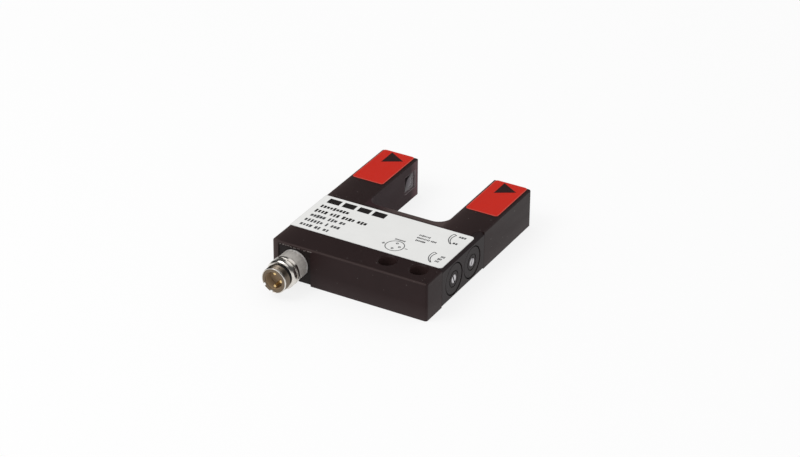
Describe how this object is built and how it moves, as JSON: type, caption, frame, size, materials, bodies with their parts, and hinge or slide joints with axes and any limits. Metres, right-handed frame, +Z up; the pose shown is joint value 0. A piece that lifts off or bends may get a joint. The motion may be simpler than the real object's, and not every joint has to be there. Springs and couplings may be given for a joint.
{
  "type": "fork sensor",
  "caption": "Flat U-shaped photoelectric fork sensor with a light beam across its gap, a round plug connector and screwdriver adjusters in its side.",
  "frame": {"origin": "on the underside, midway between the two mounting holes", "axes": "+Z up through the thickness, +Y from the connector towards the arm tips, +X towards the adjusters"},
  "size_m": [0.05, 0.0735, 0.0121],
  "materials": {
    "black_metal": "satin",
    "black_plastic": "satin",
    "dull_black_plastic": "matte",
    "frosted_plastic": "satin",
    "nickel": "polished",
    "black_rubber": "matte",
    "brown_plastic": "satin",
    "gold": "polished",
    "tinned_wire": "satin",
    "pale_plastic": "gloss",
    "blue_plastic": "gloss",
    "board": "satin",
    "steel": "satin",
    "red_resin": "gloss",
    "dark_resin": "gloss",
    "pane": "gloss",
    "lamp": "gloss",
    "chip": "matte",
    "capacitor": "satin",
    "white_film": "satin",
    "red_film": "satin"
  },
  "bodies": {
    "sensor": {"housing": "black_metal", "bottom_cover": "black_plastic", "connector_block": "black_plastic", "light_ring": "frosted_plastic", "connector_shell": "nickel", "connector_seal": "black_rubber", "contact_carrier": "brown_plastic", "contact_pins": "gold", "contact_leads": "tinned_wire", "control_panel": "black_plastic", "sensitivity_bezel": "dull_black_plastic", "mode_bezel": "dull_black_plastic", "spindle_seals": "black_rubber", "sensitivity_trimmer": "blue_plastic", "mode_switch": "dull_black_plastic", "circuit_board": "board", "board_screws": "steel", "emitter_diode": "red_resin", "receiver_diode": "dark_resin", "emitter_lens": "pane", "receiver_lens": "pane", "status_led": "lamp", "signal_chip": "chip", "output_driver": "chip", "capacitors": "capacitor", "resistors": "chip", "type_label": "white_film", "emitter_label": "red_film", "receiver_label": "red_film"},
    "sensitivity_adjuster": {"sensitivity_spindle": "pale_plastic"},
    "mode_adjuster": {"mode_spindle": "pale_plastic"}
  },
  "joints": [
    {"name": "sensitivity_turn", "type": "hinge", "parent": "sensor", "child": "sensitivity_adjuster", "pos_m": [0.011, 0.0096, 0.00585], "axis": [1, 0, 0], "range_deg": [-135, 135]},
    {"name": "mode_turn", "type": "hinge", "parent": "sensor", "child": "mode_adjuster", "pos_m": [0.011, 0.0202, 0.00585], "axis": [1, 0, 0], "range_deg": [0, 180]}
  ]
}
